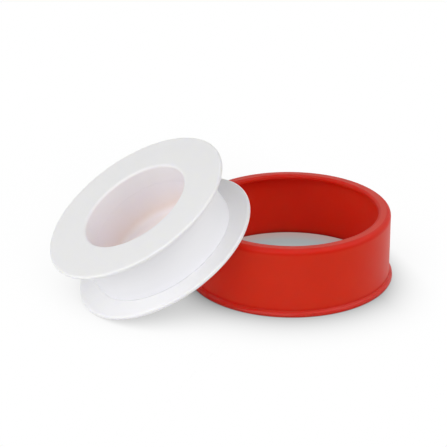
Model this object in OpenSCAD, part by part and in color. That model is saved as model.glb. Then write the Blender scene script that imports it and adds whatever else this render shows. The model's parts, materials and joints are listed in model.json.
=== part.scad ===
// Thread seal tape roll: a white two-piece spool of tape leans on its red cover ring.
// Lengths are millimetres. The ring's axis is +Z and its open base stands on z = 0.
// The spool leans on the ring's rim from the -X side and touches z = 0 with its lower flange.

/* [Tape] */
// Width of the film
tape_w = 12.7; // [6:0.1:25]
// Thickness of the film
film_t = 0.1; // [0.06:0.01:0.3]
// Air between one turn of the film and the next
turn_air = 0.02; // [0.01:0.01:0.05]
// Thickness of the whole winding on the hub
wound_build = 3.52; // [1:0.01:8]
// Gap between the edge of the film and a flange
tape_side_gap = 0.15; // [0.05:0.01:0.5]
// Clearance of the winding on the hub
tape_fit = 0.03; // [0.01:0.01:0.1]
// Gap along the roll from the free end to the start of the outer turn
end_gap = 3; // [1:0.1:10]
// Direction of the free end round the spool, from the spool's high side
end_turn = 100; // [0:1:360]

/* [Spool] */
// Diameter of the bore through the spool
bore_d = 28; // [15:0.1:45]
// Reach of the lip that narrows the lower end of the bore
lip_reach = 5.5; // [2.5:0.1:6]
// Rounding of the hollow corner between that lip and the bore
lip_corner = 2; // [0.5:0.1:2]
// Wall of the plug, and of the hub tube round it
tube_wall = 0.7; // [0.5:0.05:1.5]
// Length of the plug below the upper flange
plug_len = 4; // [2:0.1:5.5]
// Clearance of the plug in the hub tube
plug_fit = 0.05; // [0.02:0.01:0.15]
// Height of the snap ridge round the plug
snap_h = 0.12; // [0.05:0.01:0.2]
// Radius of the snap ridge's section
snap_r = 0.35; // [0.25:0.05:0.5]
// Thickness of a flange
flange_t = 1.1; // [0.6:0.05:2]
// Reach of the flanges past the wound tape
flange_reach = 5.4; // [2:0.05:12]

/* [Cover ring] */
// Clearance of the flanges inside the cover
cover_fit = 0.3; // [0.1:0.05:1]
// Wall of the cover
cover_wall = 0.9; // [0.7:0.05:2]
// Depth inside the cover beyond the width of the spool
cover_spare = 1.25; // [0.2:0.05:4]
// Thickness of the turned-in rim
rim_t = 1.3; // [0.8:0.05:2.5]
// Reach of the rim inside the wall
rim_reach = 2.35; // [0.8:0.05:5]
// Radius of the base bead's round section, whose centre lies in the base
bead_round = 1.7; // [1.5:0.1:4]
// Reach of the base bead outside the wall
bead_reach = 0.85; // [0.3:0.05:1.5]

/* [Lean] */
// Angle between the spool's axis and the ring's axis
lean_angle = 31; // [24:0.1:38]
// Clearance between the spool and the ring's rim
lean_gap = 0.1; // [0.05:0.05:0.5]

/* [Hidden] */
$fn = 128;

// Overrun of every cut past the surface that it cuts
overrun = 0.4;

// Roundings as shares of the wall that they round
flange_edge_share = 0.42;
bore_mouth_share = 0.6;
lip_edge_share = 0.3;
plug_tip_share = 0.4;
rim_edge_share = 0.85;
rim_top_share = 0.55;
rim_under_share = 0.3;
bead_base_share = 0.15;

// Height of the snap ridge's middle on the plug, as a share of the plug's length
snap_place_share = 0.5;

// Radii of the spool from its bore outwards
bore_r = bore_d / 2;
plug_out_r = bore_r + tube_wall;
socket_r = plug_out_r + plug_fit;
hub_r = socket_r + tube_wall;
lip_hole_r = bore_r - lip_reach;
tape_in_r = hub_r + tape_fit;
wound_r = tape_in_r + wound_build;
flange_r = wound_r + flange_reach;

// Heights along the spool's axis from the underside of the lower flange
spool_w = tape_w + 2 * tape_side_gap + 2 * flange_t;
upper_z = spool_w - flange_t;
plug_z = upper_z - plug_len;
shoulder_z = plug_z - plug_fit;
tape_z = flange_t + tape_side_gap;
snap_z = plug_z + plug_len * snap_place_share;
snap_mid_r = plug_out_r + snap_h - snap_r;

// Roundings of the spool
flange_edge_r = flange_t * flange_edge_share;
mouth_r = flange_t * bore_mouth_share;
lip_edge_r = flange_t * lip_edge_share;
plug_tip_r = tube_wall * plug_tip_share;

// The film's turns: a winding of two half circles grows by one pitch in each whole turn
pitch = film_t + turn_air;
core_r = wound_r - 2 * pitch;
end_gap_angle = end_gap / wound_r * 180 / PI;

// Radii and heights of the cover
cover_in_r = flange_r + cover_fit;
cover_r = cover_in_r + cover_wall;
cover_h = spool_w + cover_spare + rim_t;
rim_in_r = cover_in_r - rim_reach;
bead_r = cover_r + bead_reach;
rim_edge_r = rim_t * rim_edge_share;

// Place of the spool: its lower flange stands on z = 0 and its underside lies against the rim
rim_ring_r = cover_r - rim_edge_r;
rim_ring_z = cover_h - rim_edge_r;
hole_ring_r = lip_hole_r + lip_edge_r;
foot_z = (flange_r - flange_edge_r) * sin(lean_angle) + flange_edge_r * (1 - cos(lean_angle));

// Gap between the rim's rounding and the spool's underside, at an angle round the ring from the -X side
function rim_gap(foot_x, angle) =
    let (dx = -rim_ring_r * cos(angle) - foot_x)
    let (dz = rim_ring_z - foot_z)
    let (across = dx * cos(lean_angle) + dz * sin(lean_angle))
    let (along = dz * cos(lean_angle) - dx * sin(lean_angle))
    let (out = norm([across, rim_ring_r * sin(angle)]))
    let (to_hole = norm([hole_ring_r - out, lip_edge_r - along]) - lip_edge_r)
    (out < hole_ring_r ? to_hole : -along) - rim_edge_r;

function least_rim_gap(foot_x) = min([for (angle = [0:0.5:90]) rim_gap(foot_x, angle)]);

// Halves the stretch between a clear place and an overlapping one until the gap is the clearance
function seat_x(clear_x, overlap_x, tries) =
    let (middle_x = (clear_x + overlap_x) / 2)
    tries == 0 ? clear_x
    : least_rim_gap(middle_x) > lean_gap ? seat_x(middle_x, overlap_x, tries - 1)
    : seat_x(clear_x, middle_x, tries - 1);

foot_x = seat_x(-cover_r - 2 * flange_r, 0, 40);
spool_axis = [-sin(lean_angle), 0, cos(lean_angle)];

// Points along the middle of the outer turn, and its least gap to itself past half a turn
function turn_point(angle) =
    angle < 180 ? (core_r + turn_air + film_t / 2) * [cos(angle), sin(angle)]
    : [pitch / 2, 0] + (core_r + pitch / 2 + turn_air + film_t / 2) * [cos(angle), sin(angle)];
turn_points = [for (share = [0:1 / 180:1]) turn_point(share * (360 - end_gap_angle))];
least_turn_gap = min([for (i = [0:90], j = [i + 91:1:180]) norm(turn_points[i] - turn_points[j])]);

echo(spool_foot = [foot_x, 0, foot_z], spool_axis = spool_axis, spool_w = spool_w);
echo(bore_r = bore_r, bore_wall = [flange_t + lip_corner, spool_w - mouth_r], lip_hole_r = lip_hole_r);
echo(cover_in_r = cover_in_r, cover_h = cover_h, wound_r = wound_r, flange_r = flange_r);
echo(least_gap_of_the_outer_turn_to_itself = least_turn_gap);

// The sliver between a sharp corner and its rounding: taken off a convex corner, added in a hollow one.
// Side points from the corner to the rounding's centre.
module corner_sliver(corner, side, radius)
    translate(corner)
        difference() {
            translate([side.x > 0 ? -overrun : -radius, side.y > 0 ? -overrun : -radius])
                square(radius + overrun);
            translate(side * radius)
                circle(radius);
        }

// A rectangle of the section between two corners
module bar(low, high)
    translate(low)
        square(high - low);

// Takes a piece from the spool's own frame to where the spool leans
module on_spool()
    translate([foot_x, 0, foot_z])
        rotate([0, -lean_angle, 0])
            children();

module cover_section()
    difference() {
        union() {
            bar([cover_in_r, 0], [cover_r, cover_h]);
            bar([rim_in_r, cover_h - rim_t], [cover_r, cover_h]);
            intersection() {
                translate([bead_r - bead_round, 0])
                    circle(bead_round);
                bar([cover_in_r, 0], [bead_r, bead_round]);
            }
        }
        corner_sliver([cover_r, cover_h], [-1, -1], rim_edge_r);
        corner_sliver([rim_in_r, cover_h], [1, -1], rim_t * rim_top_share);
        corner_sliver([rim_in_r, cover_h - rim_t], [1, 1], rim_t * rim_under_share);
        corner_sliver([bead_r, 0], [-1, 1], bead_round * bead_base_share);
    }

module cover_ring()
    color([0.78, 0.17, 0.11])
        rotate_extrude()
            cover_section();

module lower_section()
    difference() {
        union() {
            bar([lip_hole_r, 0], [flange_r, flange_t]);
            bar([bore_r, 0], [hub_r, shoulder_z]);
            bar([socket_r, 0], [hub_r, upper_z]);
            corner_sliver([bore_r, flange_t], [-1, 1], lip_corner);
        }
        corner_sliver([flange_r, 0], [-1, 1], flange_edge_r);
        corner_sliver([flange_r, flange_t], [-1, -1], flange_edge_r);
        corner_sliver([lip_hole_r, 0], [1, 1], lip_edge_r);
        corner_sliver([lip_hole_r, flange_t], [1, -1], lip_edge_r);
        translate([snap_mid_r, snap_z])
            circle(snap_r + plug_fit);
    }

module spool_lower_half()
    color([0.93, 0.93, 0.95])
        on_spool()
            rotate_extrude()
                lower_section();

module upper_section()
    difference() {
        union() {
            bar([bore_r, upper_z], [flange_r, spool_w]);
            bar([bore_r, plug_z], [plug_out_r, upper_z]);
            intersection() {
                translate([snap_mid_r, snap_z])
                    circle(snap_r);
                bar([bore_r, plug_z], [socket_r + snap_h, upper_z]);
            }
        }
        corner_sliver([flange_r, upper_z], [-1, 1], flange_edge_r);
        corner_sliver([flange_r, spool_w], [-1, -1], flange_edge_r);
        corner_sliver([bore_r, spool_w], [1, -1], mouth_r);
        corner_sliver([plug_out_r, plug_z], [-1, 1], plug_tip_r);
    }

module spool_upper_half()
    color([0.93, 0.93, 0.95])
        on_spool()
            rotate_extrude()
                upper_section();

// The outline of the winding, grown outwards: the radius steps by one pitch where the turn closes
module winding(growth) {
    reach = 2 * wound_r;
    intersection() {
        circle(core_r + growth);
        bar([-reach, 0], [reach, reach]);
    }
    intersection() {
        translate([pitch / 2, 0])
            circle(core_r + pitch / 2 + growth);
        bar([-reach, -reach], [reach, 0]);
    }
}

// Stands a flat outline of the tape between the flanges, with its free end turned to its place
module between_flanges()
    on_spool()
        translate([0, 0, tape_z])
            rotate([0, 0, end_turn])
                linear_extrude(tape_w)
                    children();

module tape_roll()
    color([0.96, 0.96, 0.96])
        between_flanges()
            difference() {
                winding(0);
                circle(tape_in_r);
            }

// The wedge that the outer turn leaves open from its free end to its start
module end_wedge() {
    end_edge = 2 * wound_r * [cos(end_gap_angle), -sin(end_gap_angle)];
    polygon([[0, 0], end_edge, [end_edge.x, 0]]);
}

module tape_outer_turn()
    color([0.97, 0.97, 0.97])
        between_flanges()
            difference() {
                winding(pitch);
                winding(turn_air);
                end_wedge();
            }

cover_ring();
spool_lower_half();
spool_upper_half();
tape_roll();
tape_outer_turn();
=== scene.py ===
# %% [markdown]
# # A thread seal tape roll and its cover ring
# A white spool of thread seal tape leans on the red ring that covers it in the drawer. The packed
# model is the frame of this lesson: it fixes how large every piece is, where it stands and how the
# spool turns. Blender adds what the frame leaves plain: fine roundings, the film's own surface and
# the finish of each material.

# %% Load the frame
import json
import math

import bpy
import numpy as np
from mathutils import Matrix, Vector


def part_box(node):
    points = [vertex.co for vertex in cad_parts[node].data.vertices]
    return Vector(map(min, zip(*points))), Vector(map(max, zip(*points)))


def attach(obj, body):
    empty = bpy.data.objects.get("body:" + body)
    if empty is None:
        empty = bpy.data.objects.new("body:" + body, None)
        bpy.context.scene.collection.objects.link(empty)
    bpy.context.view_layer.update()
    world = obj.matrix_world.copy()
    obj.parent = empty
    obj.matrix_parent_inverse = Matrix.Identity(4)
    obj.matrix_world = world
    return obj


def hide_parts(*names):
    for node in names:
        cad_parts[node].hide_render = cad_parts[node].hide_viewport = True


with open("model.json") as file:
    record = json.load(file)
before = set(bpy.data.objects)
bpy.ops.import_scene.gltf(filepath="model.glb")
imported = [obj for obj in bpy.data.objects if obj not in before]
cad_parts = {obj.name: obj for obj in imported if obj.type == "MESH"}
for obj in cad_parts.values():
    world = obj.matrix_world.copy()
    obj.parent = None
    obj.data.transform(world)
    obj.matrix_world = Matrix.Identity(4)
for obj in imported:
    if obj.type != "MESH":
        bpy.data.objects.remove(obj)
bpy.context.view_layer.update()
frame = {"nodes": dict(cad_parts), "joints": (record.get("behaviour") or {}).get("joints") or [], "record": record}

print("nodes in the frame:", ", ".join(sorted(frame["nodes"])))

# %% [markdown]
# Most sizes can be read from the frame: the bores are mounts, the outer radii are corners of the
# nodes' boxes, and the joint gives the spool's foot and axis. The walls, gaps and roundings that no
# record holds are named here once. Everything is in millimetres until it goes into a mesh.

# %% Sizes of the cover ring
MM = 0.001

mount_sizes = {mount["name"]: mount["dims"] for mount in frame["record"]["mounts"]}


def high_corner(node, axis):
    """The highest corner of a node's box on one axis, in millimetres, to a hundredth."""
    return round(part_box(node)[1][axis] / MM, 2)


cover_wall = 0.9
cover_in_r = mount_sizes["cover_bore"]["r_mm"]
cover_r = cover_in_r + cover_wall
cover_h = high_corner("cover_ring", 2)
rim_reach = 2.35
rim_r = cover_in_r - rim_reach
rim_z = mount_sizes["cover_bore"]["length_mm"]
bead_r = high_corner("cover_ring", 0)
bead_round = 1.7
print(f"cover ring: {2 * cover_r:.1f} mm across, {cover_h:.1f} mm high, bead {2 * bead_r:.1f} mm")

# %% Sizes of the spool
flange_t = 1.1
flange_edge = 0.462
mouth_edge = 0.66
lip_corner = 2.0
lip_edge = 0.33
tube_wall = 0.7
plug_len = 4.0
plug_fit = 0.05
joint_gap = 0.02

flange_r = high_corner("spool_lower_half", 1)
bore_r = mount_sizes["spool_bore"]["r_mm"]
hole_r = mount_sizes["peg_hole"]["r_mm"]
plug_r = bore_r + tube_wall
socket_r = plug_r + plug_fit
hub_r = socket_r + tube_wall

spool_w = flange_t + lip_corner + mount_sizes["spool_bore"]["length_mm"] + mouth_edge
upper_z = spool_w - flange_t
plug_z = upper_z - plug_len
shoulder_z = plug_z - plug_fit
plug_end_z = shoulder_z + joint_gap
print(f"spool: flanges {2 * flange_r:.1f} mm, bore {2 * bore_r:.1f} mm, {spool_w:.1f} mm wide")

# %% [markdown]
# The camera comes first, because every later choice is judged through it. The picture was taken with
# a long lens from a little above, a small step to the left of the ring. An orbit says that best: two
# angles, a distance, and the point that sits in the middle of the picture. A long lens keeps the
# round flanges close to true ellipses.

# %% Camera
PICTURE_PX = 447
SENSOR_MM = 36.0
CLIP_START = 0.01
focal_px = 1674.9
azimuth = math.radians(-20.99)
elevation = math.radians(23.92)
roll = math.radians(-0.36)
distance = 430.5
aim = np.array([-15.25, 7.83, 12.86])

back = np.array([
    math.sin(azimuth) * math.cos(elevation),
    -math.cos(azimuth) * math.cos(elevation),
    math.sin(elevation),
])
level = np.array([math.cos(azimuth), math.sin(azimuth), 0.0])
upright = np.cross(back, level)
right = level * math.cos(roll) + upright * math.sin(roll)
up = upright * math.cos(roll) - level * math.sin(roll)


def stand(thing, place, axes):
    """Puts a camera or a lamp at a place in mm, with its own three axes along the rows of axes."""
    matrix = np.eye(4)
    matrix[:3, :3] = np.transpose(axes)
    matrix[:3, 3] = np.array(place) * MM
    thing.matrix_world = Matrix(matrix.tolist())
    bpy.context.scene.collection.objects.link(thing)


lens = bpy.data.cameras.new("camera")
lens.sensor_width = SENSOR_MM
lens.lens = focal_px * SENSOR_MM / PICTURE_PX
lens.clip_start = CLIP_START
camera = bpy.data.objects.new("camera", lens)
stand(camera, aim + back * distance, [right, up, back])
bpy.context.scene.camera = camera
print(f"camera: {lens.lens:.0f} mm lens, {distance:.0f} mm from the object")

# %% [markdown]
# Every piece here is round, so one kind of surface makes them all: an outline in the plane of radius
# and height, carried round an axis. On a grid of points, one index runs along the outline and the
# other round the turn, and each small square of the grid becomes one face. The seam closes by itself
# when the last index is followed by the first. Each piece also gets a flat map of itself, the share
# of the turn by the millimetres along the outline, which the finishes use later.


# %% From a grid of points to a mesh
def grid_squares(rows, columns):
    """Row and column numbers of every square's four corners, in order round the square."""
    row, column = np.meshgrid(np.arange(rows), np.arange(columns), indexing="ij")
    corner_rows = np.stack([row, row, row + 1, row + 1], axis=-1).reshape(-1, 4)
    corner_columns = np.stack([column, column + 1, column + 1, column], axis=-1).reshape(-1, 4)
    return corner_rows, corner_columns


def end_caps(rows, columns):
    """Squares that close both ends of an open ribbon, from each row to the one across from it."""
    near = np.arange(rows // 2 - 1)
    far = rows - 1 - near
    cap = np.stack([near, near + 1, far - 1, far], axis=-1) * columns
    return np.concatenate([cap, cap[:, ::-1] + columns - 1])


def make_piece(name, grid, turns, row_masks=None, turn_closed=True):
    """A mesh object from a grid in mm, with rows along a closed outline and columns round the turn.

    Turns gives each column's share of the turn, and each of the row masks has one value per row."""
    rows, columns = grid.shape[:2]
    corner_rows, corner_columns = grid_squares(rows, columns if turn_closed else columns - 1)
    faces = corner_rows % rows * columns + corner_columns % columns
    steps = np.linalg.norm(np.roll(grid[:, 0], -1, axis=0) - grid[:, 0], axis=-1)
    lengths = np.append(0.0, np.cumsum(steps))
    wrap = np.stack([turns[corner_columns], lengths[corner_rows]], axis=-1)
    if not turn_closed:
        caps = end_caps(rows, columns)
        faces = np.concatenate([faces, caps])
        wrap = np.concatenate([wrap, np.zeros((*caps.shape, 2))])

    mesh = bpy.data.meshes.new(name)
    mesh.from_pydata((grid.reshape(-1, 3) * MM).tolist(), [], faces.tolist())
    mesh.uv_layers.new(name="wrap").data.foreach_set("uv", wrap.astype(np.float32).ravel())
    for mask, values in (row_masks or {}).items():
        layer = mesh.attributes.new(mask, "FLOAT", "POINT")
        layer.data.foreach_set("value", np.repeat(values, columns).astype(np.float32))
    mesh.shade_smooth()
    piece = bpy.data.objects.new(name, mesh)
    bpy.context.scene.collection.objects.link(piece)
    print(f"{name}: {len(faces)} faces")
    return piece


# %% [markdown]
# A moulded edge is never sharp. Writing an outline as corners, each with its own rounding, keeps the
# numbers few, and a formula puts the arcs in: an arc of a given radius touches both sides of a corner
# where its distance from the corner is the radius over the tangent of half the corner's angle. The
# same formula serves hollow corners, where the arc becomes a fillet.

# %% Rounded outlines
ARC_STEPS = 7
SIDE_STEPS = 7
MOULD_EDGE = 0.05


def unit(vectors):
    """Vectors of length one in the same directions."""
    return vectors / np.linalg.norm(vectors, axis=-1, keepdims=True)


def rounded_outline(corners):
    """Points along a closed outline of (radius, height, rounding) corners, and 1 where they round it.

    Each arc turns evenly from the direction of one touching point to the other, seen from its centre.
    Points on a straight side crowd towards its ends, so that smooth shading keeps the side flat."""
    corner, rounding = np.split(np.array(corners), [2], axis=1)
    before = unit(np.roll(corner, 1, axis=0) - corner)
    after = unit(np.roll(corner, -1, axis=0) - corner)
    half = np.arccos(np.sum(before * after, axis=1, keepdims=True)) / 2
    centre = corner + unit(before + after) * rounding / np.sin(half)
    first = corner + before * rounding / np.tan(half)
    last = corner + after * rounding / np.tan(half)

    share = np.linspace(0, 1, ARC_STEPS + 1)[None, :, None]
    sweep = (np.pi - 2 * half)[:, :, None]
    from_first = np.sin((1 - share) * sweep) * (first - centre)[:, None]
    from_last = np.sin(share * sweep) * (last - centre)[:, None]
    arc = centre[:, None] + (from_first + from_last) / np.sin(sweep)

    crowd = (1 - np.cos(np.pi * np.linspace(0, 1, SIDE_STEPS + 2)[1:-1])) / 2
    side = last[:, None] + crowd[None, :, None] * (np.roll(first, -1, axis=0) - last)[:, None]
    points = np.concatenate([arc, side], axis=1).reshape(-1, 2)
    edge = np.tile(np.repeat([1.0, 0.0], [ARC_STEPS + 1, SIDE_STEPS]), len(corners))
    return points, edge


TURN_STEPS = 288
full_turn = np.linspace(0, 2 * np.pi, TURN_STEPS, endpoint=False)
turn_shares = np.linspace(0, 1, TURN_STEPS + 1)


def turned(points):
    """The outline carried round +Z: radius times the cosine and sine of each angle, height unchanged."""
    radius, height = points[:, :1], points[:, 1:]
    circle = radius * np.cos(full_turn), radius * np.sin(full_turn), height
    return np.stack(np.broadcast_arrays(*circle), axis=-1)


# %% [markdown]
# The cover is one red moulding: a thin wall, a bead round its open base that stiffens it, and a rim
# turned in at the top that keeps the spool from sliding through. It could be a cylinder with bevels,
# but a section drawn once shows how the wall, bead and rim flow into each other. The bead stands out
# as a round arc, and its rows carry a mask that grows from 0 at the wall to 1 at its widest.

# %% Cover ring
bead_foot = 0.25
bead_shoulder = 1.2
bead_root = 0.3
rim_edge = 1.105
rim_mouth = 0.715
rim_under = 0.39
rim_root = 0.15

bead_angle = math.acos(1 - (bead_r - cover_r) / bead_round)
bead_top = bead_round * math.sin(bead_angle)
bead_side = bead_round * math.tan(bead_angle / 2)

cover_outline, cover_edge = rounded_outline([
    (cover_in_r, 0, MOULD_EDGE),
    (bead_r, 0, bead_foot),
    (bead_r, bead_side, bead_shoulder),
    (cover_r, bead_top, bead_root),
    (cover_r, cover_h, rim_edge),
    (rim_r, cover_h, rim_mouth),
    (rim_r, rim_z, rim_under),
    (cover_in_r, rim_z, rim_root),
])
bead_share = np.clip((cover_outline[:, 0] - cover_r) / (bead_r - cover_r), 0, 1)
cover_masks = {"edge": cover_edge, "bead": bead_share}
cover_ring = make_piece("cover_ring_moulding", turned(cover_outline), turn_shares, cover_masks)

# %% [markdown]
# The spool is two mouldings. The lower half is a flange with a tube, the upper half a flange with a
# short plug that snaps into the tube. Their joint is so tight that its line in the bore is barely
# seen. Both are drawn upright in the spool's own frame and then laid where the spool leans. That
# frame's height axis is the joint's axis, and its side axis stays level, because the spool leans
# straight along X.

# %% The spool's own frame
spin = frame["joints"][0]
spool_foot = np.array(spin["pos_m"]) / MM
spool_axis = np.array(spin["axis"])
spool_side = np.array([0.0, 1.0, 0.0])
spool_high = np.cross(spool_side, spool_axis)
spool_frame = np.stack([spool_high, spool_side, spool_axis])


def leaned(grid):
    """A grid from the spool's own frame, as steps along its three axes from the foot of its axis."""
    return spool_foot + grid @ spool_frame


print(f"the spool leans {math.degrees(math.acos(spool_axis[2])):.1f} degrees")

# %% Spool halves
JOINT_EDGE = 0.03
plug_tip = 0.28
snap_z = plug_z + plug_len / 2
snap_h = 0.12
snap_half = 0.3

lower_outline, lower_edge = rounded_outline([
    (hole_r, 0, lip_edge),
    (flange_r, 0, flange_edge),
    (flange_r, flange_t, flange_edge),
    (hub_r, flange_t, MOULD_EDGE),
    (hub_r, upper_z, MOULD_EDGE),
    (socket_r, upper_z, MOULD_EDGE),
    (socket_r, snap_z + snap_half, MOULD_EDGE),
    (socket_r + snap_h, snap_z, MOULD_EDGE),
    (socket_r, snap_z - snap_half, MOULD_EDGE),
    (socket_r, shoulder_z, MOULD_EDGE),
    (bore_r, shoulder_z, JOINT_EDGE),
    (bore_r, flange_t, lip_corner),
    (hole_r, flange_t, lip_edge),
])
upper_outline, upper_edge = rounded_outline([
    (bore_r, plug_end_z, JOINT_EDGE),
    (plug_r, plug_end_z, plug_tip),
    (plug_r, snap_z - snap_half, MOULD_EDGE),
    (plug_r + snap_h, snap_z, MOULD_EDGE),
    (plug_r, snap_z + snap_half, MOULD_EDGE),
    (plug_r, upper_z, MOULD_EDGE),
    (flange_r, upper_z, flange_edge),
    (flange_r, spool_w, flange_edge),
    (bore_r, spool_w, mouth_edge),
])

# %% [markdown]
# The red ring shines through the hole at the lower end of the bore, so the white wall turns rosy
# towards its foot. The renderer finds some of that light by itself, but less than a camera sees, and a
# mask in the rows adds the rest.

# %% Spool pieces
glow_at_mouth = 0.12
glow_at_hole = 0.6
glow_power = 2.2


def bore_glow(outline):
    """The red light in the bore, from 0 to 1: it grows from the mouth to the foot of the bore's wall.

    Past the wall it fades over the lip towards the hole, and the lip's underside has none."""
    radius, height = outline.T
    inside = np.clip((bore_r + mouth_edge - radius) / mouth_edge, 0, 1)
    above = np.clip(height / flange_t, 0, 1)
    sunk = np.clip((spool_w - height) / (spool_w - flange_t - lip_corner), 0, 1)
    on_lip = np.clip((radius - bore_r + lip_corner) / lip_corner, glow_at_hole, 1)
    return inside * above * on_lip * (glow_at_mouth + (1 - glow_at_mouth) * sunk**glow_power)


def spool_half(name, outline, edge):
    """A half of the spool, which carries the masks of its rounded edges and of the light in its bore."""
    masks = {"edge": edge, "bore": bore_glow(outline)}
    return make_piece(name, leaned(turned(outline)), turn_shares, masks)


lower_half = spool_half("spool_lower_moulding", lower_outline, lower_edge)
upper_half = spool_half("spool_upper_moulding", upper_outline, upper_edge)

# %% [markdown]
# The film is soft and thin. Wound under a light pull, it follows the turns below and is never quite
# even, so its surface gets a ripple a few hundredths of a millimetre high. The winding grows by one
# pitch in a turn: its outline isn't a circle but a spiral, with a small step where the turn closes.
# The roll is a little narrower than the gap between the flanges and has slid down to the lower one.

# %% Sizes of the film and the winding's radius
film_t = 0.1
film_air = 0.02
film_gap = 0.15
film_slid = 0.06
film_clear = 0.03
film_w = upper_z - flange_t - 2 * film_gap
film_z = flange_t + film_slid
pitch = film_t + film_air
wound_r = 19.0
core_r = wound_r - 2 * pitch
film_in_r = hub_r + film_clear
end_direction = math.radians(100)
RIPPLE = 0.02
RIPPLE_WAVES = [(1.0, 3, 0.6), (0.7, 7, -1.1), (0.5, 13, 0.3)]


def wave(turns, turn, across, slant):
    """A sine wave that goes a whole number of times round the roll and leans across its width."""
    return np.sin(2 * np.pi * (turns * turn + slant * across))


def wound_radius(turn, across):
    """Radius of the winding: the core, one pitch more per turn, and a ripple of three slow waves.

    Turn is the share of a whole turn from the film's step, across is 0 to 1 over the film's width."""
    ripple = sum(share * wave(turns, turn, across, slant) for share, turns, slant in RIPPLE_WAVES)
    return core_r + pitch * turn + RIPPLE * ripple


def wound_point(turn, radius, height):
    """A point of the winding in the spool's frame: the turn counts from the film's free end."""
    angle = end_direction + 2 * np.pi * turn
    circle = radius * np.cos(angle), radius * np.sin(angle), height
    return np.stack(np.broadcast_arrays(*circle), axis=-1)


print(f"film: {film_w:.1f} mm wide, wound to {2 * wound_r:.1f} mm")

# %% The wound film under the outer turn
WOUND_STEPS = 360
ACROSS_STEPS = 28
STEP_SHARE = 0.0008

wound_turns = np.linspace(0, 1 - STEP_SHARE, WOUND_STEPS)
across = (1 - np.cos(np.pi * np.linspace(0, 1, ACROSS_STEPS))) / 2
width = across[:, None]
wound_face = wound_point(wound_turns, wound_radius(wound_turns, width), film_z + film_w * width)
hub_face = wound_point(wound_turns, film_in_r, film_z + film_w * width[::-1])
wound_grid = np.concatenate([wound_face, hub_face])
tape_roll = make_piece("tape_wound_film", leaned(wound_grid), np.append(wound_turns, 1.0))

# %% [markdown]
# The outer turn is a loose ribbon: it lies on the winding, stops a few millimetres short of its own
# start, and its cut end lifts a little, most at one corner. A ribbon needs a thickness to catch light
# at its edges, so the grid runs up its outer face and down its inner one, a film's thickness apart.

# %% The film's outer turn
RIBBON_STEPS = 420
end_gap = 3.0
cut_slant = 0.8
lift_length = 9.0
lift_height = 0.45
lift_low_share = 0.4
SHARP_ANGLE = math.radians(40)

turn_length = 2 * np.pi * wound_r
ribbon_shares = np.linspace(0, 1, RIBBON_STEPS)


def ribbon_face(width, depth):
    """One face of the ribbon: the winding's radius, plus its own depth, plus the lift of its end.

    The end is cut on a slant, and its lift grows with the square of how far it has left the roll."""
    reach = (turn_length - end_gap - cut_slant * width) / turn_length
    turn = ribbon_shares * reach
    left = np.clip(1 - (reach - turn) * turn_length / lift_length, 0, 1)
    lift = lift_height * left**2 * (lift_low_share + (1 - lift_low_share) * width)
    radius = wound_radius(turn, width) + film_air + depth + lift
    return wound_point(turn, radius, film_z + film_w * width)


ribbon_grid = np.concatenate([ribbon_face(width, film_t), ribbon_face(width[::-1], 0.0)])
outer_turn = make_piece("tape_outer_ribbon", leaned(ribbon_grid), ribbon_shares, turn_closed=False)
outer_turn.data.set_sharp_from_angle(angle=SHARP_ANGLE)

# %% [markdown]
# Node trees get long when every sum is a node that has to be placed and linked. One small class that
# wraps a socket lets the maths be written as Python: an expression such as 0.4 + 0.1 * grain adds its
# Math nodes by itself. Everything else comes from one method that sets a node's settings first and
# then its sockets.


# %% Shader values as Python expressions
class Value:
    """A number or colour that changes over a surface. Arithmetic on it adds Math nodes to its tree."""

    def __init__(self, shading, socket):
        self.shading = shading
        self.socket = socket

    def math(self, operation, first, second):
        return self.shading.node("ShaderNodeMath", {"operation": operation}, {0: first, 1: second})

    def __add__(self, other):
        return self.math("ADD", self, other)

    def __radd__(self, other):
        return self.math("ADD", other, self)

    def __sub__(self, other):
        return self.math("SUBTRACT", self, other)

    def __rsub__(self, other):
        return self.math("SUBTRACT", other, self)

    def __mul__(self, other):
        return self.math("MULTIPLY", self, other)

    def __rmul__(self, other):
        return self.math("MULTIPLY", other, self)

    def __pow__(self, other):
        return self.math("POWER", self, other)

    def __or__(self, other):
        return self.math("MAXIMUM", self, other)


# %% Node trees
def find_socket(sockets, name):
    """A socket by its number, or the one in use by its name: a Mix node has several of each name."""
    if isinstance(name, int):
        return sockets[name]
    return next(socket for socket in sockets if socket.name == name and socket.enabled)


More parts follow.
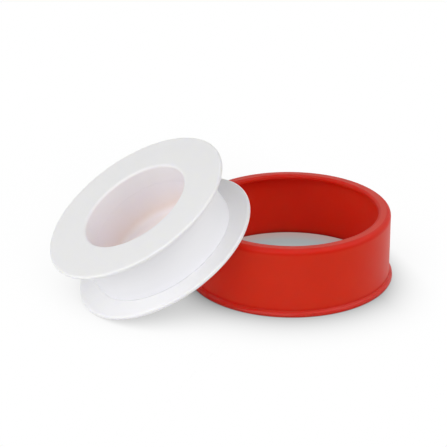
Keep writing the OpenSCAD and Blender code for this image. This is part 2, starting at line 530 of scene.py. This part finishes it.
class Shading:
    """The node tree of a material or of the world."""

    def __init__(self, owner):
        owner.use_nodes = True
        self.tree = owner.node_tree

    def node(self, kind, settings=None, sockets=None, output=0):
        """Adds a node, sets its settings, then gives each socket a value or a link."""
        made = self.tree.nodes.new(kind)
        for name, setting in (settings or {}).items():
            setattr(made, name, setting)
        for name, value in (sockets or {}).items():
            self.feed(find_socket(made.inputs, name), value)
        return Value(self, find_socket(made.outputs, output))

    def feed(self, socket, value):
        """A Value is linked to the socket, anything else is written on it."""
        if isinstance(value, Value):
            self.tree.links.new(value.socket, socket)
        else:
            socket.default_value = value

    def mix(self, share, first, second):
        """The colour that lies a share of the way from the first to the second."""
        sockets = {"Factor": share, "A": first, "B": second}
        return self.node("ShaderNodeMix", {"data_type": "RGBA"}, sockets, "Result")

    def noise(self, size, detail=2.0):
        """Noise from 0 to 1 on the piece's own coordinates, with features about size mm across."""
        place = self.node("ShaderNodeTexCoord", output="Object")
        sockets = {"Vector": place, "Scale": 1 / (size * MM), "Detail": detail}
        return self.node("ShaderNodeTexNoise", {}, sockets)

    def streaks(self, turn_mm, length, width, detail=2.0):
        """Noise drawn out along the turn: features about length by width mm, on the piece's flat map."""
        flat = self.node("ShaderNodeUVMap", {"uv_map": "wrap"})
        scale = {"Scale": (turn_mm / length, 1 / width, 1.0)}
        place = self.node("ShaderNodeMapping", {}, {"Vector": flat, **scale})
        return self.node("ShaderNodeTexNoise", {}, {"Vector": place, "Scale": 1.0, "Detail": detail})

    def mask(self, name):
        """One of the masks that a piece's rows carry, from 0 to 1."""
        return self.node("ShaderNodeAttribute", {"attribute_name": name}, output="Fac")

    def ramp(self, value, start, end, at_start, at_end):
        """Goes evenly from at_start to at_end, and no further, while a value goes from start to end mm."""
        reach = {"From Min": start * MM, "From Max": end * MM, "To Min": at_start, "To Max": at_end}
        return self.node("ShaderNodeMapRange", {}, {"Value": value, **reach})

    def bump(self, height, depth, below=None):
        """A surface normal tilted by a height of 0 to 1 that is depth mm deep, over another normal."""
        sockets = {"Height": height, "Distance": depth * MM}
        if below is not None:
            sockets["Normal"] = below
        return self.node("ShaderNodeBump", {}, sockets)

    def surface(self, sockets):
        """Gives the material's own surface shader its values and links."""
        shader = self.tree.nodes["Principled BSDF"]
        for name, value in sockets.items():
            self.feed(shader.inputs[name], value)


# %% [markdown]
# The cover is polypropylene in a strong red, moulded in a tool with a satin finish. Up close such
# plastic has a fine grain, a slow unevenness as of orange peel, and pigment that isn't mixed quite
# evenly. Its rounded edges are a deeper red and a little rougher: partly wear from handling, partly
# painted shade that dims the pale light they reflect at a slant. The bead has a thin gloss, written as
# a coat, which draws the light line along it. The red lets some light into the wall, which keeps the
# shaded inside a warm, clean red.


# %% Red cover plastic
thin_red = 0.630, 0.0330, 0.0125, 1
full_red = 0.710, 0.0385, 0.0140, 1
# The deeper red of the rounded edges: partly wear, partly painted shade that dims their slanting reflection.
worn_and_shaded_red = 0.640, 0.0120, 0.0020, 1
worn_and_shaded_share = 0.8
bead_gloss = 0.3


def red_cover_plastic():
    material = bpy.data.materials.new("red_cover_plastic")
    shading = Shading(material)
    grain = shading.noise(size=0.3)
    peel = shading.noise(size=2.2)
    pigment = shading.noise(size=9.0, detail=4.0)
    # The edge mask carries both wear and painted shade onto the rounded edges.
    handled_and_shaded = shading.mask("edge")
    colour = shading.mix(pigment, thin_red, full_red)
    colour = shading.mix(worn_and_shaded_share * handled_and_shaded, colour, worn_and_shaded_red)
    shading.surface({
        "Base Color": colour,
        "Roughness": 0.34 + 0.06 * grain + 0.06 * pigment + 0.10 * handled_and_shaded,
        "Normal": shading.bump(grain, depth=0.002, below=shading.bump(peel, depth=0.012)),
        "Specular IOR Level": 0.14,
        "Coat Weight": bead_gloss * shading.mask("bead"),
        "Coat Roughness": 0.2,
        "Subsurface Weight": 1.0,
        "Subsurface Radius": (1.0, 0.03, 0.015),
        "Subsurface Scale": 4.0 * MM,
    })
    return material


cover_red = red_cover_plastic()
print(cover_red.name, "has", len(cover_red.node_tree.nodes), "nodes")

# %% [markdown]
# The spool is plain white polypropylene, a little translucent: light goes in, wanders and comes out
# nearby, which is what subsurface scattering does. Its path is kept short, about a tenth of a
# millimetre, because light lost at the hidden faces of the snap joint would draw a dark line in the
# bore. The bore's mask mixes in the rosy light. The mould was turned on a lathe, so its faces carry
# very fine rings, which follow the outline's own length in the flat map.


# %% White spool plastic
cool_white = 0.908, 0.905, 0.972, 1
pale_white = 0.928, 0.925, 0.990, 1
rosy_white = 0.985, 0.840, 0.800, 1


def white_spool_plastic():
    material = bpy.data.materials.new("white_spool_plastic")
    shading = Shading(material)
    rings = shading.streaks(turn_mm=60.0, length=60.0, width=0.22)
    cloud = shading.noise(size=7.0, detail=3.0)
    grain = shading.noise(size=0.35)
    white = shading.mix(cloud, cool_white, pale_white)
    shading.surface({
        "Base Color": shading.mix(shading.mask("bore"), white, rosy_white),
        "Roughness": 0.36 + 0.08 * grain + 0.06 * rings - 0.06 * shading.mask("edge"),
        "Normal": shading.bump(rings, depth=0.004, below=shading.bump(grain, depth=0.003)),
        "Specular IOR Level": 0.35,
        "Subsurface Weight": 1.0,
        "Subsurface Radius": (0.9, 0.9, 1.0),
        "Subsurface Scale": 0.12 * MM,
    })
    return material


spool_white = white_spool_plastic()
print(spool_white.name, "has", len(spool_white.node_tree.nodes), "nodes")

# %% [markdown]
# The film is soft, matt and stretched in its making, so it has long faint streaks that run with the
# turn, and its turns show as slightly thicker and thinner bands. Streaks have to follow the ribbon
# round the roll, so they read the flat map, drawn out along the turn.


# %% White tape film
thin_film = 0.902, 0.902, 0.912, 1
thick_film = 0.942, 0.942, 0.952, 1
band_share = 0.7


def white_tape_film():
    material = bpy.data.materials.new("white_tape_film")
    shading = Shading(material)
    fibres = shading.streaks(turn_length, length=9.0, width=0.16, detail=3.0)
    bands = shading.streaks(turn_length, length=40.0, width=1.6)
    creases = shading.noise(size=1.4)
    thickness = band_share * bands + (1 - band_share) * fibres
    shading.surface({
        "Base Color": shading.mix(thickness, thin_film, thick_film),
        "Roughness": 0.52 + 0.12 * fibres,
        "Normal": shading.bump(fibres, depth=0.010, below=shading.bump(creases, depth=0.012)),
        "Specular IOR Level": 0.3,
    })
    return material


film_white = white_tape_film()
print(film_white.name, "has", len(film_white.node_tree.nodes), "nodes")

# %% [markdown]
# Each piece now gets its finish and the body that it rides on, and the plain solid that it stands for
# is hidden. The table also names the material slot that each piece belongs to.

# %% Dress the pieces
for piece, node, body, slot, finish in [
    (cover_ring, "cover_ring", "cover", "cover_plastic", cover_red),
    (lower_half, "spool_lower_half", "spool", "spool_plastic", spool_white),
    (upper_half, "spool_upper_half", "spool", "spool_plastic", spool_white),
    (tape_roll, "tape_roll", "spool", "tape_film", film_white),
    (outer_turn, "tape_outer_turn", "spool", "tape_film", film_white),
]:
    piece.data.materials.append(finish)
    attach(piece, body)
    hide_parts(node)
    print(f"{piece.name} rides on {body} in {finish.name}")

# %% [markdown]
# The ground is a white sheet that fades out into a white room, with only the soft shade that the
# pieces cast close round them. To light, the floor is a plain white diffuse sheet. To the camera, and
# in reflections, it shows pure white, dimmed by a shade that is written as a formula.
#
# The shade has two parts. One lies round the ring and fades with the distance from its bead. The other
# lies under the spool and grows with how much of the sky towards the front lamp is hidden, which an
# Ambient Occlusion node measures when its normal is tilted that way. Both are weaker to the right,
# where the right lamp fills them. Inside the ring little light comes down: the floor there is painted
# grey, lighter in the middle, and pink near the red wall, where the wall's red light is painted on.

# %% Sizes and tones of the floor's shade
FLOOR_HALF = 3.0
FLOOR_DROP = 0.02 * MM
SKY_SAMPLES = 48
paper_white = 0.88, 0.88, 0.88, 1
open_floor = 1, 1, 1, 1
shaded_floor = 0.03, 0.03, 0.03, 1
inside_floor = 0.350, 0.372, 0.380, 1
middle_floor = 0.640, 0.640, 0.640, 1
# Painted red light that the wall throws on the floor at its foot.
wall_floor = 0.440, 0.285, 0.265, 1
ring_shade = 0.463
ring_fade = bead_r, 50.0, 1.0, 0.0
ring_power = 3.8
spool_reach = 100 * MM
spool_shade = 1.4
spool_power = 2.0
front_shade = 15.6, 31.3, 1.0, 0.13
wall_glow = 19.5, cover_in_r, 0.0, 1.0
middle_light = 3.0, 18.5, 1.0, 0.0
front_sky = math.radians(60), math.radians(225)
print(f"shade round the ring: up to {ring_shade:.2f}, gone at {ring_fade[1]:.0f} mm from its axis")


# %% Floor
def looked_at(shading):
    """1 for a ray from the camera, off something glossy or through something clear, and else 0."""
    camera_ray, glossy_ray, clear_ray = [
        shading.node("ShaderNodeLightPath", output=f"Is {kind} Ray")
        for kind in ("Camera", "Glossy", "Transmission")
    ]
    return camera_ray | glossy_ray | clear_ray


def floor_sheet():
    material = bpy.data.materials.new("floor_sheet")
    shading = Shading(material)
    shading.tree.nodes.remove(shading.tree.nodes["Principled BSDF"])
    paper = shading.node("ShaderNodeBsdfDiffuse", {}, {"Color": paper_white})
    tilt, turn = front_sky
    towards = math.sin(tilt) * math.cos(turn), math.sin(tilt) * math.sin(turn), math.cos(tilt)
    sky = shading.node("ShaderNodeCombineXYZ", {}, dict(enumerate(towards)))
    open_sky = {"Distance": spool_reach, "Normal": sky}
    hidden = 1 - shading.node("ShaderNodeAmbientOcclusion", {"samples": SKY_SAMPLES}, open_sky, "AO")
    place = shading.node("ShaderNodeTexCoord", output="Object")
    along = shading.node("ShaderNodeSeparateXYZ", {}, {"Vector": place}, "X")
    from_ring = shading.node("ShaderNodeVectorMath", {"operation": "LENGTH"}, {0: place}, "Value")
    in_ring = {0: from_ring, 1: cover_in_r * MM}
    inside = shading.node("ShaderNodeMath", {"operation": "LESS_THAN"}, in_ring)
    round_ring = ring_shade * shading.ramp(from_ring, *ring_fade) ** ring_power
    under_spool = spool_shade * hidden**spool_power
    shade = (round_ring + under_spool) * shading.ramp(along, *front_shade)
    outside_tone = shading.mix(shade, open_floor, shaded_floor)
    near_wall = shading.ramp(from_ring, *wall_glow)
    middle = shading.ramp(from_ring, *middle_light)
    inside_tone = shading.mix(middle, inside_floor, middle_floor)
    inside_tone = shading.mix(near_wall, inside_tone, wall_floor)
    tone = shading.mix(inside, outside_tone, inside_tone)
    shown = shading.node("ShaderNodeEmission", {}, {"Color": tone})
    either = shading.node("ShaderNodeMixShader", {}, {0: looked_at(shading), 1: paper, 2: shown})
    shading.feed(shading.tree.nodes["Material Output"].inputs["Surface"], either)
    return material


x, y = FLOOR_HALF * np.array([[-1, 1, 1, -1], [-1, -1, 1, 1]])
sheet = bpy.data.meshes.new("floor")
sheet.from_pydata(np.stack([x, y, np.full(4, -FLOOR_DROP)], axis=1).tolist(), [], [(0, 1, 2, 3)])
sheet.materials.append(floor_sheet())
floor = bpy.data.objects.new("floor", sheet)
bpy.context.scene.collection.objects.link(floor)
print(f"floor: {2 * FLOOR_HALF:.0f} m across")

# %% [markdown]
# The light is that of a small photo tent with three large soft lamps: one at each side and one to the
# left of the camera. The side lamps light the red wall and the inside of the ring, and the front lamp
# the flange and the film. The room itself lights the object only dimly, but the camera and glossy
# surfaces see it white.

# %% Room and lamps
room_light = 0.25
room_white = 1, 1, 1, 1
LAMP_AWAY = 550

room = bpy.data.worlds.new("room")
room_shading = Shading(room)
brightness = room_light + (1 - room_light) * looked_at(room_shading)
room_shading.feed(room.node_tree.nodes["Background"].inputs["Color"], room_white)
room_shading.feed(room.node_tree.nodes["Background"].inputs["Strength"], brightness)
bpy.context.scene.world = room


def softbox(name, direction, height, size, glow):
    """A square lamp that faces the object, at an angle to the left of the camera's own direction.

    Its power is its glow, where white paper right before it has 1, times pi times its area."""
    turn = azimuth - math.radians(direction)
    outward = np.array([
        math.sin(turn) * math.cos(math.radians(height)),
        -math.cos(turn) * math.cos(math.radians(height)),
        math.sin(math.radians(height)),
    ])
    across = unit(np.cross([0, 0, 1], outward))
    lamp = bpy.data.lights.new(name, "AREA")
    lamp.shape = "SQUARE"
    lamp.size = size * MM
    lamp.energy = glow * math.pi * lamp.size**2
    box = bpy.data.objects.new(name, lamp)
    box.visible_camera = False
    stand(box, aim + outward * LAMP_AWAY, [across, np.cross(outward, across), outward])
    print(f"{name}: {lamp.energy:.2f} W")


softbox("left lamp", direction=80, height=20, size=450, glow=1.27)
softbox("right lamp", direction=-72, height=45, size=450, glow=2.12)
softbox("front lamp", direction=28, height=24, size=650, glow=1.30)

# %% [markdown]
# The picture is shown as it is, with the plain view.

# %% Finish
bpy.context.scene.view_settings.view_transform = "Standard"
